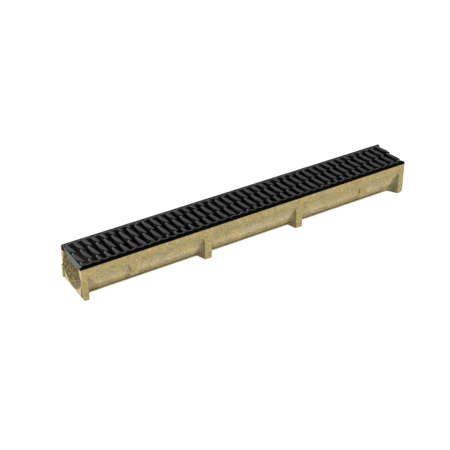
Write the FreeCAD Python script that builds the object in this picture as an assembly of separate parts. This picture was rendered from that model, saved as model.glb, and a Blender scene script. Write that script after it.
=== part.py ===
import FreeCAD, Part
import math
import os

# Drainage channel: a cast polymer concrete body, two edge rails and two cast iron gratings.
# Millimetres. X runs along the channel, Y across it and Z up. The feet stand on Z = 0.

# Channel body
laying_length = 1000.0
channel_width = 118.0
body_height = 92.0
hollow_width = 97.4
hollow_floor = 16.3
ledge_reach = 2.0
ledge_height = 12.0
ledge_slope = 8.0
wall_height = 4.0
band_height = 23.0
recess_depth = 6.5
recess_height = 44.0
lip_inset = 5.0
lip_height = 30.0
keel_width = 84.0
keel_chamfer = 1.5
keel_height = 8.0

# Ribs and feet
rib_width = 20.0
rib_flare = 20.0
rib_near_flare = 10.0
rib_flare_depth = 20.0
rib_head_flare = 9.0
rib_head_height = 26.0
short_rib_flare = 6.0
middle_rib_offset = 142.5
short_rib_offset = 357.0
end_rib_width = 16.5
socket_flare = 34.0
foot_width = 13.0
foot_arch_height = 6.0
foot_arch_bevel = 4.2
foot_corner_radius = 8.0
sole_rise = 11.0

# Interlock of the channel ends
lug_length = 3.0
lug_height = 50.0
lug_width = 8.0
lug_slope = 6.0
groove_edge = 3.0
groove_width = 6.0
interlock_clearance = 0.4

# Edge rails
rail_thickness = 3.5
rail_rise = 8.9
rail_root = 1.5
seat_width = 8.5
seat_thickness = 3.0
rail_corner_radius = 5.0

# Gratings
grating_count = 2
bars_per_grating = 21
grating_end_gap = 4.5
grating_joint_gap = 0.8
grating_side_gap = 0.5
belly_side_gap = 0.6
bar_height = 5.0
belly_depth = 17.5
bar_top_width = 10.0
bar_foot_width = 7.0
rim_width = 7.0
slot_bevel = 4.5
rim_wave = 2.3
raised_width = 3.8
rim_height = 8.7
leaf_height = 10.0
leaf_length = 50.5
leaf_width = 13.0
leaf_tip_width = 3.4
leaf_tilt = 10.3
leaf_pitch = 45.9
leaf_repeats = 2
leaf_start = 13.9
leaf_shift = 0.8
leaf_edge = 1.0
leaf_facets = 4
belly_facets = 8
belly_fullness = 3.0
leaf_fullness = 2.0

# Where the middle point of each curve lies, as a share of the curve's reach
recess_slope_bend = 0.62
recess_scoop_bend = 0.10
flare_bend_out = 0.42
flare_bend_in = 0.50
head_bend_up = 0.62
head_bend_out = 0.22
wave_out_share = 0.36
wave_in_share = 0.14

# Worked out from the values above
half_length = laying_length / 2
half_width = channel_width / 2
band_bottom = body_height - band_height
foot_inner = half_width - foot_width
rail_inner = half_width - rail_thickness
rail_top = body_height + rail_rise
seat_inner = rail_inner - seat_width
seat_bottom = body_height - seat_thickness
grating_half = rail_inner - grating_side_gap
slot_half = grating_half - rim_width
bar_pitch = laying_length / (grating_count * bars_per_grating)
overlap = 1.0


def point(x, y, z):
    return FreeCAD.Vector(x, y, z)


def line_edges(points):
    return [Part.LineSegment(a, b).toShape() for a, b in zip(points, points[1:])]


def arc_edge(start, middle, end):
    return Part.Arc(start, middle, end).toShape()


def face_of(edges):
    return Part.Face(Part.Wire(edges))


def closed_polygon(points):
    return face_of(line_edges(points + points[:1]))


def block(x_range, y_range, z_range):
    size = [high - low for low, high in (x_range, y_range, z_range)]
    return Part.makeBox(*size, point(x_range[0], y_range[0], z_range[0]))


def mirrored_across(shape):
    return shape.mirror(point(0, 0, 0), point(0, 1, 0))


def mirrored_along(shape):
    return shape.mirror(point(0, 0, 0), point(1, 0, 0))


def trough():
    """The trough between the ribs: top band, curved recess, sharp lip and tapering keel."""
    def at(side, y, z):
        return point(-half_length, side * y, z)

    def flank(side):
        deep = half_width - recess_depth
        slope = at(side, half_width - recess_slope_bend * recess_depth, (band_bottom + recess_height) / 2)
        scoop = at(side, deep + recess_scoop_bend * recess_depth, (recess_height + lip_height) / 2)
        lip = at(side, half_width - lip_inset, lip_height)
        keel = [lip, at(side, keel_width / 2 + keel_chamfer, keel_height + keel_chamfer)]
        keel.append(at(side, keel_width / 2, keel_height))
        edges = line_edges([at(side, half_width, body_height), at(side, half_width, band_bottom)])
        edges.append(arc_edge(at(side, half_width, band_bottom), slope, at(side, deep, recess_height)))
        edges.append(arc_edge(at(side, deep, recess_height), scoop, lip))
        return edges + line_edges(keel)

    edges = flank(1) + flank(-1)
    for y, z in ((keel_width / 2, keel_height), (half_width, body_height)):
        edges += line_edges([at(1, y, z), at(-1, y, z)])
    return face_of(Part.sortEdges(edges)[0]).extrude(point(laying_length, 0, 0))


def flow_hollow():
    """The flow section: round floor, straight walls and the ledges under the seats."""
    start = -half_length - overlap
    half = hollow_width / 2
    ledge = seat_inner - ledge_reach / 2
    ledge_bottom = seat_bottom - ledge_height
    wall_top = ledge_bottom - ledge_slope
    side = [(half, wall_top - wall_height), (half, wall_top), (ledge, ledge_bottom)]
    side += [(ledge, seat_bottom), (seat_inner, seat_bottom), (seat_inner, body_height + overlap)]
    points = [point(start, y, z) for y, z in side]
    points += [point(start, -y, z) for y, z in reversed(side)]
    edges = line_edges(points)
    edges.append(arc_edge(points[-1], point(start, 0, hollow_floor), points[0]))
    return face_of(edges).extrude(point(laying_length + 2 * overlap, 0, 0))


def seat_step():
    """The step in the front wall's top that takes the root and the flange of the rail."""
    outer = -rail_inner - rail_root
    reach = (-half_length - overlap, half_length + overlap)
    return block(reach, (outer, -seat_inner + overlap), (seat_bottom, body_height + overlap))


def flared_plan(left, right, left_flare, right_flare):
    """A rib's outline from above: narrow at its face, curving out towards the trough."""
    face = -half_width
    root = face + rib_flare_depth

    def flank(x, flare):
        ends = [point(x, face, 0), point(x + flare, root, 0)]
        if flare == 0:
            return line_edges(ends)
        middle = point(x + flare_bend_out * flare, face + flare_bend_in * rib_flare_depth, 0)
        return [arc_edge(ends[0], middle, ends[1])]

    edges = line_edges([point(left, face, 0), point(right, face, 0)])
    edges += flank(right, right_flare)
    edges += line_edges([point(right + right_flare, root, 0), point(left - left_flare, root, 0)])
    edges += flank(left, -left_flare)
    return face_of(Part.sortEdges(edges)[0])


def foot_arch(left, right):
    """The space between a pair of feet, under the trough."""
    inner = -foot_inner
    shoulder = inner + foot_arch_bevel
    outline = [point(left, inner, -overlap), point(left, inner, 0), point(left, shoulder, foot_arch_height),
               point(left, 0, foot_arch_height), point(left, 0, -overlap)]
    return closed_polygon(outline).extrude(point(right - left, 0, 0))


def rib_head():
    """The top of a rib, which widens in two arcs into the band."""
    half = rib_width / 2
    wide = half + rib_head_flare
    foot = band_bottom - rib_head_height
    bend = foot + head_bend_up * rib_head_height
    face = -half_width
    edges = []
    for side in (1, -1):
        start = point(side * half, face, foot)
        middle = point(side * (half + head_bend_out * rib_head_flare), face, bend)
        edges.append(arc_edge(start, middle, point(side * wide, face, band_bottom)))
    for x, z in ((half, foot), (wide, band_bottom)):
        edges += line_edges([point(-x, face, z), point(x, face, z)])
    return face_of(Part.sortEdges(edges)[0]).extrude(point(0, recess_depth + overlap, 0))


def full_rib():
    """A rib from the band down to the floor, where it ends in a foot with a rising sole."""
    half = rib_width / 2
    left = -half - rib_flare - overlap
    right = half + rib_near_flare + overlap
    upright = flared_plan(-half, half, rib_flare, rib_near_flare).extrude(point(0, 0, band_bottom))
    y = -half_width - overlap
    outline = [(-half, 0), (half, 0), (right, sole_rise), (right, body_height)]
    outline += [(left, body_height), (left, sole_rise)]
    side_view = closed_polygon([point(x, y, z) for x, z in outline]).extrude(point(0, half_width, 0))
    return upright.common(side_view).cut(foot_arch(left, right)).fuse(rib_head())


def short_rib():
    """A rib that stops at the lip of the recess."""
    half = rib_width / 2
    plan = flared_plan(-half, half, short_rib_flare, short_rib_flare)
    upright = plan.extrude(point(0, 0, band_bottom - lip_height)).translated(point(0, 0, lip_height))
    root = -half_width + recess_depth + overlap
    depth_limit = block((-rib_width, rib_width), (-half_width, root), (0, body_height))
    return upright.common(depth_limit).fuse(rib_head())


def end_rib(flare):
    """The rib and foot at the left end, with a rounded outer corner and a rising sole."""
    left = -half_length
    right = left + end_rib_width
    far = right + flare + overlap
    upright = flared_plan(left, right, 0, flare).extrude(point(0, 0, band_bottom))
    radius = foot_corner_radius
    chord = radius * (1 - math.sqrt(0.5))
    y = -half_width - overlap
    outline = [arc_edge(point(left, y, radius), point(left + chord, y, chord), point(left + radius, y, 0))]
    outline += line_edges([point(left + radius, y, 0), point(right, y, 0), point(far, y, sole_rise),
                           point(far, y, body_height), point(left, y, body_height), point(left, y, radius)])
    side_view = face_of(outline).extrude(point(0, half_width, 0))
    return upright.common(side_view).cut(foot_arch(left - overlap, far))


def end_collar():
    """The thicker floor that closes the trough at its left end, between the two feet."""
    reach = (-half_length, -half_length + end_rib_width)
    return block(reach, (-foot_inner, foot_inner), (foot_arch_height, hollow_floor + keel_height))


def interlock_lug(grow):
    """The lug low on the left end, on the back rib; with a clearance it is its pocket."""
    left = -half_length - lug_length - grow
    inner = half_width - lug_width - grow
    outer = half_width + (overlap if grow else 0)
    bottom = foot_corner_radius - grow
    outline = [point(left, inner, bottom), point(left, outer, bottom),
               point(left, outer, lug_height - lug_slope + grow), point(left, inner, lug_height + grow)]
    return closed_polygon(outline).extrude(point(lug_length + grow, 0, 0))


def end_key(bottom, grow):
    """The tongue on the right end, low on the front rib; with a clearance it is its groove."""
    outer = -half_width + groove_edge - grow
    inner = -half_width + groove_edge + groove_width + grow
    top = lug_height + grow
    outline = [(outer, bottom), (inner + groove_width / 2, bottom), (inner, lug_height / 2),
               (outer + groove_edge, top), (outer, top)]
    section = closed_polygon([point(half_length, y, z) for y, z in outline])
    return section.extrude(point(lug_length + grow, 0, 0))


def channel_body():
    """The cast body, with its ribs and feet, end interlock, seat steps and flow hollow."""
    front = [full_rib().translated(point(side * middle_rib_offset, 0, 0)) for side in (-1, 1)]
    front += [short_rib().translated(point(side * short_rib_offset, 0, 0)) for side in (-1, 1)]
    front += [end_rib(rib_near_flare), mirrored_along(end_rib(socket_flare))]
    added = front + [mirrored_across(rib) for rib in front]
    added += [end_collar(), mirrored_along(end_collar())]
    added += [interlock_lug(0), end_key(foot_corner_radius, 0)]
    body = trough().fuse(added)
    pocket = interlock_lug(interlock_clearance).translated(point(laying_length, 0, 0))
    groove = end_key(-overlap, interlock_clearance).translated(point(-laying_length, 0, 0))
    cuts = [flow_hollow(), seat_step(), mirrored_across(seat_step()), groove, pocket]
    return body.cut(cuts).removeSplitter()


def edge_rail():
    """The front rail: an upright edge with rounded ends on a flange that the gratings rest on."""
    outline = [(half_width, body_height), (half_width, rail_top), (rail_inner, rail_top),
               (rail_inner, body_height), (seat_inner, body_height), (seat_inner, seat_bottom),
               (rail_inner + rail_root, seat_bottom), (rail_inner + rail_root, body_height)]
    section = closed_polygon([point(-half_length, -y, z) for y, z in outline])
    rail = section.extrude(point(laying_length, 0, 0))
    corners = []
    for edge in rail.Edges:
        middle = edge.CenterOfMass
        if abs(abs(middle.x) - half_length) < 0.01 and abs(middle.z - rail_top) < 0.01:
            corners.append(edge)
    return rail.makeFillet(rail_corner_radius, corners)


def bowed(reach, rise, facets, fullness):
    """Points of a bow: pairs of the distance along it and the height above its ends."""
    shares = [2 * count / facets - 1 for count in range(facets + 1)]
    return [(share * reach, rise * (1 - abs(share) ** fullness)) for share in shares]


def bar_centre(number):
    return -half_length + bar_pitch * (number + 0.5)


def grating_ends(index):
    """Where a grating starts and ends: a gap at the channel's ends and a joint between two."""
    length = laying_length / grating_count
    start = -half_length + index * length
    left_gap = grating_end_gap if index == 0 else grating_joint_gap / 2
    right_gap = grating_end_gap if index == grating_count - 1 else grating_joint_gap / 2
    return start + left_gap, start + length - right_gap


def grating_blank(start, end):
    """Side rims and the bars' fish-bellied section, before the slots are cut."""
    belly_half = seat_inner - belly_side_gap
    top = body_height + bar_height
    outline = [(grating_half, body_height), (grating_half, top)]
    outline += [(-grating_half, top), (-grating_half, body_height)]
    belly = bowed(belly_half, belly_depth, belly_facets, belly_fullness)
    outline += [(y, body_height - drop) for y, drop in belly]
    return closed_polygon([point(start, y, z) for y, z in outline]).extrude(point(end - start, 0, 0))


def raised_rim(start, end):
    """The raised strip on the front rim, which steps in at each bar and out at each slot."""
    low = body_height + bar_height - overlap
    first = math.floor((start + half_length) / bar_pitch)
    last = math.ceil((end + half_length) / bar_pitch)
    inset = -grating_half + rim_wave
    edge = []
    for number in range(first, last):
        x = bar_centre(number)
        out = wave_out_share * bar_pitch
        dip = wave_in_share * bar_pitch
        edge += [(x - out, -grating_half), (x - dip, inset), (x + dip, inset), (x + out, -grating_half)]
    edge = [(edge[0][0] - bar_pitch, -grating_half)] + edge + [(edge[-1][0] + bar_pitch, -grating_half)]
    points = [point(x, y, low) for x, y in edge]
    points += [point(x, y + raised_width, low) for x, y in reversed(edge)]
    band = closed_polygon(points).extrude(point(0, 0, body_height + rim_height - low))
    return band.common(block((start, end), (-half_width, half_width), (0, 2 * body_height)))


def slot_outline(x, width, z):
    """A long slot with bevelled corners, level, at one height."""
    half = width / 2
    shoulder = slot_half - slot_bevel
    corner = half - slot_bevel
    ring = [(half, -shoulder), (half, shoulder), (corner, slot_half), (-corner, slot_half),
            (-half, shoulder), (-half, -shoulder), (-corner, -slot_half), (corner, -slot_half)]
    points = [point(x + dx, y, z) for dx, y in ring]
    return Part.Wire(line_edges(points + points[:1]))


def slot(x):
    """A slot between two bars: straight at the bars' heads, wider below so that they taper."""
    head = slot_outline(x, bar_pitch - bar_top_width, body_height)
    foot = slot_outline(x, bar_pitch - bar_foot_width, body_height - belly_depth - overlap)
    straight = Part.Face(head).extrude(point(0, 0, leaf_height + overlap))
    return [straight, Part.makeLoft([foot, head], True, True)]


def leaf():
    """A raised leaf with curved flanks and blunt tips, along Y, before it is tilted and placed."""
    tip = leaf_tip_width / 2
    flank = bowed(leaf_length / 2, leaf_width / 2 - tip, leaf_facets, leaf_fullness)
    outline = [(tip + swell, y) for y, swell in flank] + [(-tip - swell, y) for y, swell in reversed(flank)]
    face = closed_polygon([point(x, y, body_height + bar_height) for x, y in outline])
    shape = face.extrude(point(0, 0, leaf_height - bar_height))
    return shape.rotated(point(0, 0, 0), point(0, 0, 1), leaf_tilt)


def leaves_on_bar(number, pattern, field):
    """The row of leaves on one bar, clipped to the field between the rims."""
    step = leaf_pitch * leaf_repeats / bars_per_grating
    phase = -leaf_start + number * step
    reach = slot_half + leaf_length / 2
    first = math.ceil((-reach - phase) / leaf_pitch)
    last = math.floor((reach - phase) / leaf_pitch)
    row = []
    for count in range(first, last + 1):
        place = point(bar_centre(number) - leaf_shift, phase + count * leaf_pitch, 0)
        clipped = pattern.translated(place).common(field)
        if clipped.Volume > 1:
            row.append(clipped)
    return row


def grating(index):
    """One cast grating: rims, tapered fish-bellied bars and raised leaves."""
    start, end = grating_ends(index)
    rim = raised_rim(start, end)
    blank = grating_blank(start, end).fuse([rim, mirrored_across(rim)])
    first = index * bars_per_grating
    slots = []
    for number in range(first, first + bars_per_grating + 1):
        if number not in (0, grating_count * bars_per_grating):
            slots += slot(bar_centre(number) - bar_pitch / 2)
    body = blank.cut(slots)
    field_half = slot_half + 2 * leaf_edge
    field = block((start + leaf_edge, end - leaf_edge), (-field_half, field_half), (0, 2 * body_height))
    pattern = leaf()
    leaves = []
    for number in range(first, first + bars_per_grating):
        leaves += leaves_on_bar(number, pattern, field)
    return body.fuse(leaves).removeSplitter()


def export(shape, name):
    solids = shape.Solids
    box = shape.BoundBox
    print(name, "valid", shape.isValid(), "solids", len(solids), "volume", round(shape.Volume), "mm3",
          "size", round(box.XLength, 2), round(box.YLength, 2), round(box.ZLength, 2))
    solids[0].exportStep(os.path.join("parts", name + ".step"))


os.makedirs("parts", exist_ok=True)
export(channel_body(), "channel_body")
rail = edge_rail()
export(rail, "edge_rail_front")
export(mirrored_across(rail), "edge_rail_back")
for index, side in enumerate(("left", "right")[:grating_count]):
    export(grating(index), "grating_" + side)
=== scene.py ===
import math

import bmesh
import bpy
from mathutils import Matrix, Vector


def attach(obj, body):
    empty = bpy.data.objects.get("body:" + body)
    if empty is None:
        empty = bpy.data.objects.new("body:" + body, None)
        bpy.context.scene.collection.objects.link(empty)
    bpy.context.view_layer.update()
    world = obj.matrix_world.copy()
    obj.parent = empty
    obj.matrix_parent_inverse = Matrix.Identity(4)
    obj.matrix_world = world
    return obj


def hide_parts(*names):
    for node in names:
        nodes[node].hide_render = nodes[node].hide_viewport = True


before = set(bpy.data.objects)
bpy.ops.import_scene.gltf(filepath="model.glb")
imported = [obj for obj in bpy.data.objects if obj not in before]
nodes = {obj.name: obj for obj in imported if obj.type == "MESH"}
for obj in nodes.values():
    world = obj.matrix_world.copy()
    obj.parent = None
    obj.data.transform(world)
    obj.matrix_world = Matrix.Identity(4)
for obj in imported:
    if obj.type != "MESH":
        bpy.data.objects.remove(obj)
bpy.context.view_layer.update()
mm = 0.001
print("frame loaded:", len(nodes), "nodes")


# shading helpers
class Signal:
    # one socket of a shader tree, so that maths on it reads as an expression
    def __init__(self, finish, socket):
        self.finish = finish
        self.socket = socket

    def pair(self, operation, first, second):
        return self.finish.node("Math", {"operation": operation}, {0: first, 1: second})

    def __add__(self, other):
        return self.pair("ADD", self, other)

    def __radd__(self, other):
        return self.pair("ADD", other, self)

    def __sub__(self, other):
        return self.pair("SUBTRACT", self, other)

    def __rsub__(self, other):
        return self.pair("SUBTRACT", other, self)

    def __mul__(self, other):
        return self.pair("MULTIPLY", self, other)

    def __rmul__(self, other):
        return self.pair("MULTIPLY", other, self)

    def __truediv__(self, other):
        return self.pair("DIVIDE", self, other)

    def __rtruediv__(self, other):
        return self.pair("DIVIDE", other, self)

    def __gt__(self, other):
        return self.pair("GREATER_THAN", self, other)

    def __lt__(self, other):
        return self.pair("LESS_THAN", self, other)

    def __abs__(self):
        return self.finish.node("Math", {"operation": "ABSOLUTE"}, {0: self})


class Finish:
    # the shader tree of a material or of the world
    def __init__(self, owner):
        self.owner = owner
        owner.use_nodes = True
        self.tree = owner.node_tree
        self.tree.nodes.clear()

    def node(self, kind, settings=None, sockets=None, output=0):
        made = self.tree.nodes.new("ShaderNode" + kind)
        for key, value in (settings or {}).items():
            if key == "stops":
                self.setStops(made.color_ramp, value)
            else:
                setattr(made, key, value)
        for key, value in (sockets or {}).items():
            if isinstance(value, Signal):
                self.tree.links.new(value.socket, made.inputs[key])
            else:
                made.inputs[key].default_value = value
        return Signal(self, made.outputs[output]) if made.outputs else None

    def setStops(self, ramp, stops):
        while len(ramp.elements) > 1:
            ramp.elements.remove(ramp.elements[-1])
        for index, (place, colour) in enumerate(stops):
            element = ramp.elements[0] if index == 0 else ramp.elements.new(place)
            element.position = place
            element.color = opaque(colour)

    def place(self):
        # where a point lies on the object, in metres
        return self.node("TexCoord", output=3)

    def facing(self):
        # which way the object's surface faces
        return self.node("TexCoord", output=1)

    def axes(self, vector, wanted="xyz"):
        return [self.node("SeparateXYZ", {}, {0: vector}, output="xyz".index(axis)) for axis in wanted]

    def larger(self, first, second):
        return self.node("Math", {"operation": "MAXIMUM"}, {0: first, 1: second})

    def mapped(self, value, fromLow, fromHigh, toLow, toHigh):
        return self.node("MapRange", {}, {0: value, 1: fromLow, 2: fromHigh, 3: toLow, 4: toHigh})

    def noise(self, place, size, detail=3.0, roughness=0.55):
        settings = {"noise_dimensions": "3D"}
        sockets = {"Vector": place, "Scale": 1 / (size * mm), "Detail": detail, "Roughness": roughness}
        return self.node("TexNoise", settings, sockets)

    def grains(self, place, size, output=0):
        return self.node("TexVoronoi", {"feature": "F1"}, {"Vector": place, "Scale": 1 / (size * mm)}, output)

    def grainTone(self, place, size, channel):
        # a flat random tone for each grain
        return self.node("SeparateColor", {}, {0: self.grains(place, size, output=1)}, output=channel)

    def ramp(self, factor, stops):
        return self.node("ValToRGB", {"stops": stops}, {0: factor})

    def blend(self, factor, first, second, kind="MIX"):
        settings = {"data_type": "RGBA", "blend_type": kind}
        return self.node("Mix", settings, {0: factor, 6: first, 7: second}, output=2)

    def bump(self, height, distance, strength):
        return self.node("Bump", {}, {"Height": height, "Distance": distance * mm, "Strength": strength})

    def surface(self, colour, rough, normal, shine):
        sockets = {"Base Color": colour, "Roughness": rough, "Normal": normal, "Specular IOR Level": shine}
        shader = self.node("BsdfPrincipled", {}, sockets)
        self.node("OutputMaterial", {}, {"Surface": shader})
        return self.owner


def opaque(colour):
    return (*colour, 1.0)


def between(value, limits):
    # 1 where a length lies between two limits in mm
    return (value > limits[0] * mm) * (value < limits[1] * mm)


# finishes, with lengths in mm from the middle of the channel and heights in mm from its feet
sand = (0.445, 0.362, 0.160)
concrete = {
    "grainSize": 2.4,
    "coarseGrainSize": 4.6,
    "coarseShare": 0.42,
    "fineGrains": [
        (0.00, (0.20, 0.17, 0.09)), (0.08, (0.33, 0.27, 0.12)), (0.25, sand), (0.60, (0.55, 0.45, 0.19)),
        (0.78, (0.66, 0.50, 0.12)), (0.88, (0.64, 0.31, 0.08)), (0.94, (0.30, 0.33, 0.30)),
        (1.00, (0.80, 0.77, 0.56)),
    ],
    "coarseGrains": [
        (0.00, (0.22, 0.26, 0.25)), (0.12, (0.38, 0.36, 0.22)), (0.30, sand), (0.66, sand),
        (0.80, (0.64, 0.50, 0.10)), (0.92, (0.66, 0.29, 0.09)), (1.00, (0.74, 0.70, 0.48)),
    ],
    "stainSize": 30.0,
    "stains": [(0.34, (0.86, 0.87, 0.88)), (0.52, (1.0, 1.0, 1.0)), (0.70, (1.05, 1.04, 1.0))],
    "rough": (0.72, 0.16),
    "roughSize": 6.0,
    "poreSize": 0.9,
    "poreShare": 0.5,
    "relief": (0.25, 0.55),
    "shine": 0.15,
}
hollow = {
    "half": 48.75,
    "floor": 15.5,
    "axis": 65.0,
    "grainSize": 3.4,
    "grainShare": 0.65,
    "grains": [
        (0.00, (0.13, 0.11, 0.07)), (0.30, (0.22, 0.18, 0.08)), (0.50, (0.38, 0.31, 0.13)),
        (0.72, (0.62, 0.52, 0.19)), (0.86, (0.68, 0.58, 0.26)), (0.92, (0.55, 0.25, 0.08)),
        (1.00, (0.90, 0.85, 0.60)),
    ],
    # painted light: the hollow's colour is raised and made bluer
    "paintedLight": (1.82, 1.82, 2.05),
    "deepest": 0.09,
    "slope": 1.24,
    "lightTo": 76.0,
    "darkFrom": 112.0,
    "glare": 93.0,
    "glareSide": 14.3,
    "glareSlope": 0.22,
    "glareFull": -462.0,
    "glareGone": -425.0,
}
endFace = {
    "plane": 500.0,
    "faceFrom": 499.4,
    "faceTo": 501.2,
    "skinAndLight": (0.50, 0.43, 0.26),
    "skinShare": 0.5,
    "ringSkinLoss": 0.45,
    "ringTo": 54.5,
    "ringTop": 62.0,
    "ringShade": 0.27,
    "line": (50.5, 51.9),
    "lineTone": 1.9,
    "lugFrom": 500.2,
    "lugFacing": 0.7,
    "lugPaintedLight": 0.6,
}
bay = {
    "across": (40.0, 58.6),
    "top": 69.0,
    "recessAcross": (50.0, 58.6),
    "recessRise": (30.5, 69.0),
    "recessFacing": 0.8,
    "dustAndPaintedLight": (0.15, 0.17, 0.40),
    "recessLightRise": (36.0, 50.0),
    "recessLightAmount": (1.10, 0.70),
    "lipRise": (34.5, 36.2),
    "lipShade": 0.76,
    "keelAcross": (41.0, 54.5),
    "keelRise": (6.0, 29.8),
    "keelFacing": 0.5,
    "keelShade": 0.90,
}
ribs = {
    "flankFrom": 30.0,
    "flankFacing": (0.3, 0.95),
    "flankShade": 0.40,
    "shortAt": 357.0,
    "shortHalf": 20.0,
    "shortPaintedLight": 0.9,
    # the place of a rib's edge, its side, how far its shade reaches and how dark it is
    "edges": [
        (-152.5, 1, 1.0, 0.42), (132.5, 1, 1.0, 0.42), (483.5, 1, 1.25, 0.50), (-483.5, -1, 1.2, 0.34),
        (-132.5, -1, 0.45, 0.28), (152.5, -1, 0.45, 0.28), (-368.0, 1, 0.55, 0.20), (346.0, 1, 0.55, 0.20),
    ],
    "spread": 24.0,
    "spreadLeast": 6.0,
    "spreadRise": (29.0, 66.0),
    "softness": 10.0,
}


def concreteGrains(finish, place, inside):
    # sand in two sizes with faint stains, and bolder sand inside the hollow
    fine = finish.grainTone(place, concrete["grainSize"], 0)
    coarse = finish.grainTone(place, concrete["coarseGrainSize"], 1)
    bold = finish.grainTone(place, hollow["grainSize"], 2)
    colour = finish.ramp(fine, concrete["fineGrains"])
    colour = finish.blend(concrete["coarseShare"], colour, finish.ramp(coarse, concrete["coarseGrains"]))
    colour = finish.blend(inside * hollow["grainShare"], colour, finish.ramp(bold, hollow["grains"]))
    stains = finish.noise(place, concrete["stainSize"], 4.0, 0.6)
    return finish.blend(1.0, colour, finish.ramp(stains, concrete["stains"]), "MULTIPLY")


def hollowPaintedShade(finish, x, y, z, along):
    # painted shade in the hollow: its colour is full low down near the ends, darker deeper in, and held back
    # near the left end, where the low lamp falls on it
    depth = z + hollow["slope"] * (endFace["plane"] * mm - along)
    reach = finish.mapped(depth, hollow["lightTo"] * mm, hollow["darkFrom"] * mm, 1.0, hollow["deepest"])
    lit = finish.larger(hollow["glareSide"] * mm - hollow["glareSlope"] * z - y, 0.0)
    near = finish.mapped(x, hollow["glareFull"] * mm, hollow["glareGone"] * mm, 1.0, 0.0)
    return reach / (1 + hollow["glare"] * lit * near)


def ribCorners(finish, x, z, bays):
    # shade in the bays beside the ribs, wider towards the feet
    low, high = ribs["spreadRise"]
    fall = finish.mapped(z, low * mm, high * mm, 1.0, 0.0)
    corner = bays * 0
    for edge, side, share, strength in ribs["edges"]:
        gap = side * (edge * mm - x)
        spread = share * (fall * (ribs["spread"] * mm) + ribs["spreadLeast"] * mm)
        near = finish.mapped(spread - gap, 0.0, ribs["softness"] * mm, 0.0, strength)
        corner = corner + near * (gap > 0) * bays
    return corner


def polymerConcrete():
    finish = Finish(bpy.data.materials.new("polymerConcrete"))
    place = finish.place()
    x, y, z = finish.axes(place)
    along, across = abs(x), abs(y)
    lengthwise, sideways = [abs(axis) for axis in finish.axes(finish.facing(), "xy")]

    inside = (across < hollow["half"] * mm) * (z > hollow["floor"] * mm) * (along < endFace["faceFrom"] * mm)
    colour = concreteGrains(finish, place, inside)

    # the moulded skin of the end faces, made paler partly as painted light, with a dark ring of painted shade
    # around the hollow
    rise = z - hollow["axis"] * mm
    radius = finish.node("Math", {"operation": "SQRT"}, {0: y * y + rise * rise})
    atFace = along > endFace["faceFrom"] * mm
    ring = (radius < endFace["ringTo"] * mm) * (z < endFace["ringTop"] * mm) * atFace
    line = ring * between(radius, endFace["line"])
    # paler end faces: moulded skin and partly painted light
    skinAndLight = between(along, (endFace["faceFrom"], endFace["faceTo"]))
    skinAndLight = skinAndLight * (endFace["skinShare"] - endFace["ringSkinLoss"] * ring)
    colour = finish.blend(skinAndLight, colour, opaque(endFace["skinAndLight"]))

    # paler recess faces as painted light, and painted shade on the lip, keel and rib flanks
    recess = between(across, bay["recessAcross"]) * between(z, bay["recessRise"])
    recess = recess * (sideways > bay["recessFacing"])
    recessLightLow, recessLightHigh = bay["recessLightRise"]
    # painted light: how much paler the recess faces are made, most low down
    recessLightAmount = finish.mapped(z, recessLightLow * mm, recessLightHigh * mm, *bay["recessLightAmount"])
    # painted shade on the lowest strip of the recess, just above the lip
    lipLow, lipHigh = bay["lipRise"]
    lip = recess * finish.mapped(z, lipLow * mm, lipHigh * mm, 1 - bay["lipShade"], 0.0)
    # painted shade on the keel faces under the lip
    keel = (sideways > bay["keelFacing"]) * between(across, bay["keelAcross"]) * between(z, bay["keelRise"])
    # painted light on the end lugs' side faces, which lie in the low lamp's shadow
    lug = (along > endFace["lugFrom"] * mm) * (sideways > endFace["lugFacing"])
    # painted shade on the slanting rib flanks and in the bays beside the ribs
    slanting = (lengthwise > ribs["flankFacing"][0]) * (lengthwise < ribs["flankFacing"][1])
    flank = slanting * (across > ribs["flankFrom"] * mm)
    short = abs(along - ribs["shortAt"] * mm) < ribs["shortHalf"] * mm
    bays = between(across, bay["across"]) * (z < bay["top"] * mm)
    paintedShade = finish.larger(flank * ribs["flankShade"] * (1 - short), ribCorners(finish, x, z, bays))

    shade = (1 - paintedShade) * (1 - lip) * (1 + (bay["keelShade"] - 1) * keel) * (1 + endFace["lugPaintedLight"] * lug)
    # painted light on the front flanks of the short ribs
    shade = shade * (1 + ribs["shortPaintedLight"] * flank * short * (y < 0))
    # painted shade on the ring around the hollow, with a paler line in it
    shade = shade * (1 - (1 - endFace["ringShade"]) * ring) * (1 + (endFace["lineTone"] - 1) * line)
    reach = hollowPaintedShade(finish, x, y, z, along)
    # per colour channel: painted shade and light, the recess's painted light and the hollow's painted light
    paintedLight = []
    for dustAndPaintedLight, inner in zip(bay["dustAndPaintedLight"], hollow["paintedLight"]):
        paintedLight.append(shade * (1 + recess * recessLightAmount * dustAndPaintedLight) * (1 - inside + inside * reach * inner))
    colour = finish.blend(1.0, colour, finish.node("CombineXYZ", {}, dict(enumerate(paintedLight))), "MULTIPLY")

    least, spread = concrete["rough"]
    rough = finish.noise(place, concrete["roughSize"]) * spread + least
    pores = finish.noise(place, concrete["poreSize"], 2.0) * concrete["poreShare"]
    height = finish.grains(place, concrete["grainSize"]) * (1 - concrete["poreShare"]) + pores
    return finish.surface(colour, rough, finish.bump(height, *concrete["relief"]), concrete["shine"])


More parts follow.
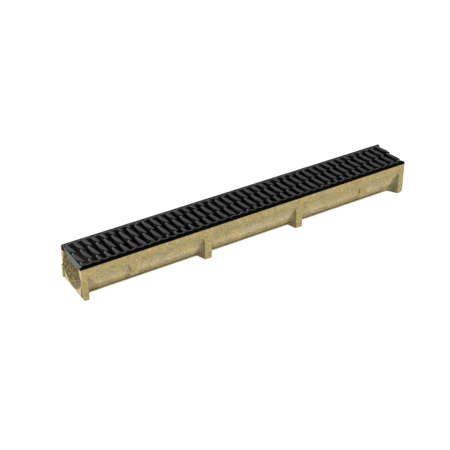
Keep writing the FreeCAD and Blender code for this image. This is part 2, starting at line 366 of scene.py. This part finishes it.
iron = {
    # along the channel, from its left end at 0 to its right end at 1; painted shade on the sunk parts and
    # painted light on the tops, both lighter towards the left end
    "sunkShade": [(0.0, (0.013, 0.0115, 0.0085)), (0.28, (0.0045, 0.0045, 0.0048)), (1.0, (0.003, 0.003, 0.0035))],
    "leftwardLight": [(0.0, (1.0, 1.0, 1.0)), (0.5, (0.78, 0.78, 0.78)), (1.0, (0.74, 0.74, 0.74))],
    "topDark": (0.064, 0.068, 0.070),
    "topPale": (0.083, 0.087, 0.089),
    "topFrom": 97.6,
    "topFacing": 0.35,
    "noseFacing": -0.35,
    "noseHighlight": (0.140, 0.148, 0.154),
    "endFrom": 494.5,
    "endFacing": 0.7,
    "endHighlight": (0.108, 0.113, 0.118),
    "cloudSize": 14.0,
    "clouds": (0.30, 0.75),
    "castGrain": 0.9,
    "rough": (0.52, 0.18),
    "roughSize": 3.0,
    "relief": (0.16, 0.5),
    "shine": 0.1,
}


def castIron():
    finish = Finish(bpy.data.materials.new("castIron"))
    place = finish.place()
    x, z = finish.axes(place, "xz")
    rightward, up = finish.axes(finish.facing(), "xz")
    run = x + endFace["plane"] * mm
    clouds = finish.noise(place, iron["cloudSize"], 4.0, 0.6)
    darkAt, paleAt = iron["clouds"]
    topTone = finish.ramp(clouds, [(darkAt, iron["topDark"]), (paleAt, iron["topPale"])])
    # painted highlight on the leaves' back-tip facets, which face the low lamp
    topTone = finish.blend(rightward < iron["noseFacing"], topTone, opaque(iron["noseHighlight"]))
    # painted light: the tops lighter towards the left end
    topTone = finish.blend(1.0, topTone, finish.ramp(run, iron["leftwardLight"]), "MULTIPLY")
    # the tops keep the iron's tone; the sunk parts get painted shade, lighter and browner near the left end
    raised = (up > iron["topFacing"]) * (z > iron["topFrom"] * mm)
    colour = finish.blend(raised, finish.ramp(run, iron["sunkShade"]), topTone)
    # painted highlight on the grating's end faces, which face the low lamp
    ends = (abs(x) > iron["endFrom"] * mm) * (abs(rightward) > iron["endFacing"])
    colour = finish.blend(ends, colour, opaque(iron["endHighlight"]))
    least, spread = iron["rough"]
    rough = finish.noise(place, iron["roughSize"]) * spread + least
    normal = finish.bump(finish.noise(place, iron["castGrain"], 3.0, 0.6), *iron["relief"])
    return finish.surface(colour, rough, normal, iron["shine"])


rails = {
    "black": (0.0012, 0.0012, 0.0016),
    "dustAndPaintedLight": (0.0026, 0.0026, 0.0032),
    "backTopHighlight": (0.058, 0.061, 0.063),
    "backTopFrom": 50.0,
    "backTopFacing": 0.12,
    "backEndHighlight": (0.130, 0.135, 0.140),
    "backEndFrom": 55.0,
    "backEndAt": -495.5,
    "dustSize": 20.0,
    "dustRange": (0.35, 0.80),
    "rough": (0.60, 0.15),
    "roughSize": 5.0,
    "coatGrain": 1.4,
    "relief": (0.05, 0.4),
    "shine": 0.01,
}


def blackCoat():
    finish = Finish(bpy.data.materials.new("blackCoat"))
    place = finish.place()
    x, y = finish.axes(place, "xy")
    up = finish.axes(finish.facing(), "z")[0]
    dustFrom, dustFull = rails["dustRange"]
    clouds = finish.noise(place, rails["dustSize"], 4.0)
    colour = finish.ramp(clouds, [(dustFrom, rails["black"]), (dustFull, rails["dustAndPaintedLight"])])
    # painted highlight on the back rail's upper faces and on its left end
    backTopHighlight = (up > rails["backTopFacing"]) * (y > rails["backTopFrom"] * mm)
    backEndHighlight = (x < rails["backEndAt"] * mm) * (y > rails["backEndFrom"] * mm)
    colour = finish.blend(backTopHighlight, colour, opaque(rails["backTopHighlight"]))
    colour = finish.blend(backEndHighlight, colour, opaque(rails["backEndHighlight"]))
    least, spread = rails["rough"]
    rough = finish.noise(place, rails["roughSize"]) * spread + least
    normal = finish.bump(finish.noise(place, rails["coatGrain"], 2.0), *rails["relief"])
    return finish.surface(colour, rough, normal, rails["shine"])


finishes = {"concrete": polymerConcrete(), "iron": castIron(), "black": blackCoat()}
print("finishes made:", len(finishes))


# mesh helpers
def linked(name, mesh, finish):
    piece = bpy.data.objects.new(name, mesh)
    bpy.context.scene.collection.objects.link(piece)
    mesh.materials.clear()
    mesh.materials.append(finishes[finish])
    return piece


def settled(piece):
    # the mesh with its modifiers applied
    graph = bpy.context.evaluated_depsgraph_get()
    mesh = bpy.data.meshes.new_from_object(piece.evaluated_get(graph))
    piece.modifiers.clear()
    piece.data = mesh
    return piece


def shaded(piece, angle):
    mesh = piece.data
    mesh.polygons.foreach_set("use_smooth", [True] * len(mesh.polygons))
    mesh.set_sharp_from_angle(angle=math.radians(angle))


meshing = {"weld": 1e-6, "flatAngle": 0.6, "shortestEdge": 1e-9, "leastMitre": 0.5, "roundShare": 0.3}


def softenedCopy(node, name, finish, settings):
    # a copy of a rigid node's mesh whose edges are rounded as the real piece's are
    mesh = bpy.data.meshes.new(name)
    work = bmesh.new()
    work.from_mesh(nodes[node].data)
    bmesh.ops.remove_doubles(work, verts=work.verts, dist=meshing["weld"])
    flat = math.radians(meshing["flatAngle"])
    bmesh.ops.dissolve_limit(work, angle_limit=flat, verts=work.verts, edges=work.edges)
    work.to_mesh(mesh)
    work.free()
    for attribute in [a for a in mesh.attributes if a.name == "custom_normal"]:
        mesh.attributes.remove(attribute)
    piece = linked(name, mesh, finish)
    bevel = piece.modifiers.new("edges", "BEVEL")
    bevel.width = settings["radius"] * mm
    bevel.segments = settings["segments"]
    bevel.limit_method = "ANGLE"
    bevel.angle_limit = math.radians(settings["angle"])
    bevel.miter_outer = "MITER_ARC"
    bevel.use_clamp_overlap = True
    shaded(settled(piece), settings["smooth"])
    return piece


def outlineNormals(outline):
    # inward normals of a closed outline that runs anticlockwise
    normals = []
    count = len(outline)
    for index in range(count):
        before = Vector(outline[index]) - Vector(outline[index - 1])
        after = Vector(outline[(index + 1) % count]) - Vector(outline[index])
        edges = [edge for edge in (before, after) if edge.length > meshing["shortestEdge"]]
        sides = [Vector((-edge.y, edge.x)).normalized() for edge in edges]
        mean = sum(sides, Vector((0, 0)))
        length = max(mean.length / len(sides), meshing["leastMitre"])
        normals.append(mean.normalized() / length)
    return normals


def stacked(work, outline, levels):
    # a closed shell from one outline: rings at (height, inset), capped at both ends
    normals = outlineNormals(outline)
    rings = []
    for height, inset in levels:
        ring = []
        for (x, y), normal in zip(outline, normals):
            spotX = x * mm + normal.x * inset * mm
            spotY = y * mm + normal.y * inset * mm
            ring.append(work.verts.new((spotX, spotY, height * mm)))
        rings.append(ring)
    count = len(outline)
    for low, high in zip(rings, rings[1:]):
        for index in range(count):
            following = (index + 1) % count
            work.faces.new((low[index], low[following], high[following], high[index]))
    work.faces.new(list(reversed(rings[0])))
    work.faces.new(rings[-1])


def roundTop(top, soft):
    # the levels of a rounded upper edge
    share = meshing["roundShare"]
    return [(top - soft, 0.0), (top - share * soft, share * soft), (top, soft)]


def tube(work, sections):
    # a closed shell through rings of points, capped at both ends
    rings = [[work.verts.new((x * mm, y * mm, z * mm)) for x, y, z in section] for section in sections]
    count = len(rings[0])
    for near, far in zip(rings, rings[1:]):
        for index in range(count):
            following = (index + 1) % count
            work.faces.new((near[index], near[following], far[following], far[index]))
    work.faces.new(list(reversed(rings[0])))
    work.faces.new(rings[-1])


def clipped(outline, axis, limit, keepBelow):
    # the part of a closed outline on one side of a line
    kept = []
    sign = 1 if keepBelow else -1
    for index, here in enumerate(outline):
        before = outline[index - 1]
        insideHere = sign * (limit - here[axis]) >= 0
        insideBefore = sign * (limit - before[axis]) >= 0
        if insideHere != insideBefore:
            share = (limit - before[axis]) / (here[axis] - before[axis])
            kept.append(tuple(before[k] + share * (here[k] - before[k]) for k in (0, 1)))
        if insideHere:
            kept.append(here)
    return kept


def rounded(points, steps):
    # a closed smooth line through the points
    line = []
    count = len(points)
    for index in range(count):
        a, b, c, d = (Vector(points[(index + k) % count]) for k in (-1, 0, 1, 2))
        for step in range(steps):
            t = step / steps
            spot = 2 * b + (c - a) * t
            spot = spot + (2 * a - 5 * b + 4 * c - d) * t * t
            spot = 0.5 * (spot + (3 * b - a - 3 * c + d) * t ** 3)
            line.append((spot.x, spot.y))
    return line


# gratings, in mm
grating = {
    "halfLength": 500,
    "bars": 42,
    "pitch": 1000 / 42,
    "endGap": 4.5,
    "jointGap": 0.8,
    "seatTop": 92.0,
    "barTop": 97.0,
    "barHalf": 5.0,
    "footHalf": 3.5,
    "bellyDepth": 17.4,
    "bellyHalf": 46.2,
    "bellyFullness": 3.0,
    "bellySteps": 16,
    "seatGap": 0.4,
    "endTaper": 0.4,
    "footRound": 0.9,
    "footShare": 0.25,
    "outerHalf": 55.0,
    "slotHalf": 48.0,
    "slotRound": 0.4,
    "rimTop": 100.7,
    "rimSunk": 1.0,
    "rimWave": 3.0,
    "rimStrip": 4.4,
    "rimSteps": 12,
    "edgeRound": 0.6,
    "smooth": 32,
}
leaves = {
    "top": 102.0,
    "pitch": 45.9,
    "start": -13.9,
    "repeats": 2,
    "perRepeat": 21,
    "fieldHalf": 51.0,
    "halfLength": 25,
    "shortest": 3,
    "endMargin": 1.0,
    "rooted": 0.8,
    "rootInset": 0.5,
    "neck": 1.0,
    "neckInset": 0.1,
    "outline": [
        (-3.2, 22.8), (-4.9, 19.6), (-6.2, 13.5), (-6.7, 7.5), (-6.2, -0.5), (-4.4, -10.0), (-1.2, -18.0),
        (2.8, -23.4), (5.6, -25.4), (6.9, -24.2), (6.9, -18.5), (6.0, -10.5), (4.4, -0.5), (3.1, 5.0),
        (1.2, 12.0), (-0.2, 18.0), (-1.5, 21.8),
    ],
    "steps": 3,
    "noseEnds": (16.3, 23.6),
    "noseFrom": -0.7,
    "noseTo": -7.6,
    "noseDrop": 4.4,
    "noseOver": 2,
}


def barCentre(number):
    return -grating["halfLength"] + grating["pitch"] * (number + 0.5)


def barSections(left, right, leftFoot, rightFoot):
    # rings of a bar from front to back: level top, tapering sides and a bowed belly
    half = grating["bellyHalf"]
    count = grating["bellySteps"]
    seat, top = grating["seatTop"], grating["barTop"]
    softTop, soft = grating["edgeRound"], grating["footRound"]
    foot, lift = grating["footShare"] * soft, meshing["roundShare"] * soft
    sections = []
    for step in range(count + 1):
        y = half * (2 * step / count - 1)
        bow = 1 - abs(y / half) ** grating["bellyFullness"]
        bottom = seat - grating["seatGap"] - grating["bellyDepth"] * bow
        share = grating["endTaper"] + (1 - grating["endTaper"]) * bow
        lowLeft = left + (leftFoot - left) * share
        lowRight = right + (rightFoot - right) * share
        ring = [
            (lowLeft + soft, bottom), (lowLeft + foot, bottom + lift), (lowLeft, bottom + soft),
            (left, seat), (left, top - softTop), (left + softTop, top),
            (right - softTop, top), (right, top - softTop), (right, seat),
            (lowRight, bottom + soft), (lowRight - foot, bottom + lift), (lowRight - soft, bottom),
        ]
        sections.append([(x, y, z) for x, z in ring])
    return sections


def barShells(work, half):
    # the bars at the channel's ends have an upright outer face
    for number in range(half["first"], half["last"]):
        centre = barCentre(number)
        left, leftFoot = centre - grating["barHalf"], centre - grating["footHalf"]
        right, rightFoot = centre + grating["barHalf"], centre + grating["footHalf"]
        if number == 0:
            left = leftFoot = half["start"]
        if number == grating["bars"] - 1:
            right = rightFoot = half["end"]
        tube(work, barSections(left, right, leftFoot, rightFoot))


def rimSpan(start, end):
    # places along a rim, more of them than the wave needs
    step = grating["pitch"] / (2 * grating["rimSteps"])
    count = round((end - start) / step)
    return [start + (end - start) * k / count for k in range(count + 1)]


def slotOffset(x):
    # distance from the middle of the nearest slot, and 0 at the channel's ends
    return (x / grating["pitch"] + 0.5) % 1.0 * grating["pitch"] - grating["pitch"] / 2


def rimShell(work, outline, side, levels):
    # the outline runs anticlockwise at the back, so it is turned round at the front
    stacked(work, outline if side > 0 else list(reversed(outline)), levels)


def lowerRims(work, half):
    # the flat strips under the rims, with the round ends of the slots
    start, end = half["start"], half["end"]
    radius = grating["pitch"] / 2 - grating["barHalf"]
    top, soft = grating["barTop"], grating["slotRound"]
    for side in (-1, 1):
        inner = []
        for x in rimSpan(start, end):
            off = abs(slotOffset(x))
            atEnd = abs(x) > grating["halfLength"] - grating["pitch"] / 2
            dip = math.sqrt(max(radius ** 2 - off ** 2, 0)) if off < radius and not atEnd else 0
            inner.append((x, side * (grating["slotHalf"] - radius + dip)))
        outer = [(end, side * grating["outerHalf"]), (start, side * grating["outerHalf"])]
        levels = [(grating["seatTop"], 0.0), (top - soft, 0.0), (top, soft)]
        rimShell(work, inner + outer, side, levels)


def upperRims(work, half):
    # the raised strips, which wind in at each bar and out at each slot
    top, soft = grating["rimTop"], grating["edgeRound"]
    for side in (-1, 1):
        outer, inner = [], []
        for x in rimSpan(half["start"], half["end"]):
            turn = 2 * math.pi * slotOffset(x) / grating["pitch"]
            wave = 0.5 - 0.5 * math.cos(turn)
            edge = grating["outerHalf"] - grating["rimWave"] * wave
            outer.append((x, side * edge))
            inner.append((x, side * (edge - grating["rimStrip"])))
        levels = [(grating["barTop"] - grating["rimSunk"], 0.0)] + roundTop(top, soft)
        rimShell(work, inner + list(reversed(outer)), side, levels)


def leafPlaces(half):
    # where the middle of each leaf lies: the rows shift a little from bar to bar
    step = leaves["pitch"] * leaves["repeats"] / leaves["perRepeat"]
    reach = leaves["fieldHalf"] + leaves["halfLength"]
    places = []
    for number in range(half["first"], half["last"]):
        phase = leaves["start"] + number * step
        low = math.ceil((-reach - phase) / leaves["pitch"])
        high = math.floor((reach - phase) / leaves["pitch"])
        places += [(barCentre(number), phase + count * leaves["pitch"]) for count in range(low, high + 1)]
    return places


def leafShells(work, half):
    shape = rounded(leaves["outline"], leaves["steps"])
    if sum(a[0] * b[1] - b[0] * a[1] for a, b in zip(shape, shape[1:] + shape[:1])) < 0:
        shape = list(reversed(shape))
    root, top, soft = grating["barTop"], leaves["top"], grating["edgeRound"]
    levels = [(root - leaves["rooted"], leaves["rootInset"]), (root + leaves["neck"], leaves["neckInset"])]
    levels += roundTop(top, soft)
    field = leaves["fieldHalf"]
    limits = [(1, field, True), (1, -field, False)]
    limits += [(0, half["end"] - leaves["endMargin"], True), (0, half["start"] + leaves["endMargin"], False)]
    for across, along in leafPlaces(half):
        outline = [(across + x, along + y) for x, y in shape]
        for axis, limit, keepBelow in limits:
            outline = clipped(outline, axis, limit, keepBelow) if outline else outline
        if len(outline) < 4:
            continue
        length = max(y for x, y in outline) - min(y for x, y in outline)
        if length >= leaves["shortest"]:
            stacked(work, outline, levels)


def noseWedges(work, half):
    # what is taken off the leaves so that their back tips slope down to the left
    top, over = leaves["top"], leaves["top"] + leaves["noseOver"]
    profile = [(leaves["noseFrom"], top), (leaves["noseFrom"], over),
               (leaves["noseTo"], over), (leaves["noseTo"], top - leaves["noseDrop"])]
    for across, along in leafPlaces(half):
        tube(work, [[(across + x, along + y, z) for x, z in profile] for y in leaves["noseEnds"]])


def ironShell(name, fill, half):
    work = bmesh.new()
    fill(work, half)
    bmesh.ops.recalc_face_normals(work, faces=work.faces)
    mesh = bpy.data.meshes.new(name)
    work.to_mesh(mesh)
    work.free()
    return linked(name, mesh, "iron")


def gratingCasting(name, node, half):
    # the leaves lose their back tips, then bars and rims are joined to them
    fills = (leafShells, noseWedges, barShells, lowerRims, upperRims)
    casting, *others = [ironShell(name + fill.__name__, fill, half) for fill in fills]
    for other in others:
        joint = casting.modifiers.new("joint", "BOOLEAN")
        joint.operation = "DIFFERENCE" if other is others[0] else "UNION"
        joint.solver = "MANIFOLD"
        joint.object = other
        settled(casting)
    for other in others:
        bpy.data.objects.remove(other)
    casting.name = name
    shaded(casting, grating["smooth"])
    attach(casting, "root")
    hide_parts(node)
    print(name, "faces", len(casting.data.polygons))


middle = grating["bars"] // 2
outerEnd = grating["halfLength"] - grating["endGap"]
leftHalf = {"first": 0, "last": middle, "start": -outerEnd, "end": -grating["jointGap"] / 2}
rightHalf = {"first": middle, "last": grating["bars"], "start": grating["jointGap"] / 2, "end": outerEnd}
gratingCasting("gratingCastingLeft", "grating_left", leftHalf)
gratingCasting("gratingCastingRight", "grating_right", rightHalf)


# body and rails
bodyEdges = {"radius": 1.2, "segments": 2, "angle": 28, "smooth": 30}
railEdges = {"radius": 0.6, "segments": 2, "angle": 28, "smooth": 40}

body = softenedCopy("channel_body", "channelCasting", "concrete", bodyEdges)
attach(body, "root")
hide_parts("channel_body")
print("body faces", len(body.data.polygons))
for side in ("front", "back"):
    rail = softenedCopy("edge_rail_" + side, "edgeRail" + side.capitalize(), "black", railEdges)
    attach(rail, "root")
    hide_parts("edge_rail_" + side)
print("body and rails made")


# floor, light and camera
stage = {
    "floorSize": 8.0,
    "floorDrop": 0.0002,
    "floorColour": 0.35,
    "floorGlow": 0.88,
    "sky": (0.95, 0.98, 1.0),
    "ambient": 0.45,
    "white": (1.0, 1.0, 1.0),
    "seenBy": ("Is Camera Ray", "Is Glossy Ray", "Is Transmission Ray"),
    "aim": (0, 0, 0.05),
}


def seenRays(finish):
    # 1 for the camera, for reflections and for rays that pass through; other rays meet the plain levels
    seen = 0.0
    for key in stage["seenBy"]:
        path = finish.node("LightPath", {}, {}, output=key)
        seen = finish.node("Math", {"operation": "ADD", "use_clamp": True}, {0: seen, 1: path})
    return seen


def floorFinish():
    finish = Finish(bpy.data.materials.new("studioFloor"))
    diffuse = finish.node("BsdfDiffuse", {}, {"Color": opaque([stage["floorColour"]] * 3)})
    glow = finish.node("Emission", {}, {"Color": opaque(stage["white"]), "Strength": stage["floorGlow"]})
    lit = finish.node("AddShader", {}, {0: diffuse, 1: glow})
    mixed = finish.node("MixShader", {}, {0: seenRays(finish), 1: diffuse, 2: lit})
    finish.node("OutputMaterial", {}, {"Surface": mixed})
    return finish.owner


def studioFloor():
    work = bmesh.new()
    size = stage["floorSize"] / 2
    corners = ((-1, -1), (1, -1), (1, 1), (-1, 1))
    work.faces.new([work.verts.new((x * size, y * size, -stage["floorDrop"])) for x, y in corners])
    mesh = bpy.data.meshes.new("studioFloor")
    work.to_mesh(mesh)
    work.free()
    floor = bpy.data.objects.new("studioFloor", mesh)
    bpy.context.scene.collection.objects.link(floor)
    mesh.materials.append(floorFinish())


def studioWorld():
    world = Finish(bpy.data.worlds.new("studio"))
    bpy.context.scene.world = world.owner
    light = world.node("Background", {}, {"Color": opaque(stage["sky"]), "Strength": stage["ambient"]})
    backdrop = world.node("Background", {}, {"Color": opaque(stage["white"]), "Strength": 1.0})
    mixed = world.node("MixShader", {}, {0: seenRays(world), 1: light, 2: backdrop})
    world.node("OutputWorld", {}, {"Surface": mixed})


lamps = [
    {"name": "edgeLight", "azimuth": -46, "elevation": 9, "distance": 6.0, "size": 1.6, "level": 1.24},
    {"name": "frontSoft", "azimuth": 98, "elevation": 20, "distance": 8.0, "size": 2.6, "level": 0.615},
]


def softLamp(settings):
    # level is what a white matt surface square to the lamp would render as
    turn, rise = math.radians(settings["azimuth"]), math.radians(settings["elevation"])
    towards = Vector((-math.cos(rise) * math.cos(turn), -math.cos(rise) * math.sin(turn), math.sin(rise)))
    light = bpy.data.lights.new(settings["name"], "AREA")
    light.shape = "SQUARE"
    light.size = settings["size"]
    light.energy = settings["level"] * (math.pi * settings["distance"]) ** 2
    lamp = bpy.data.objects.new(settings["name"], light)
    bpy.context.scene.collection.objects.link(lamp)
    lamp.location = Vector(stage["aim"]) + towards * settings["distance"]
    lamp.rotation_euler = (-towards).to_track_quat("-Z", "Y").to_euler()


view = {
    "azimuth": 31.45,
    "elevation": 32.91,
    "distance": 2.8658,
    "lens": 86.84,
    "sensor": 36,
    "clip": 50,
    "target": (-0.06293, -0.01037, 0.050),
}


def photoCamera():
    azimuth, elevation = math.radians(view["azimuth"]), math.radians(view["elevation"])
    forward = Vector((math.sin(azimuth) * math.cos(elevation), math.cos(azimuth) * math.cos(elevation),
                      -math.sin(elevation)))
    lens = bpy.data.cameras.new("photoCamera")
    lens.sensor_width = view["sensor"]
    lens.lens = view["lens"]
    lens.clip_end = view["clip"]
    camera = bpy.data.objects.new("photoCamera", lens)
    bpy.context.scene.collection.objects.link(camera)
    camera.location = Vector(view["target"]) - forward * view["distance"]
    camera.rotation_euler = forward.to_track_quat("-Z", "Y").to_euler()
    bpy.context.scene.camera = camera


studioFloor()
studioWorld()
for lamp in lamps:
    softLamp(lamp)
photoCamera()
bpy.context.scene.view_settings.view_transform = "Standard"
print("studio made")
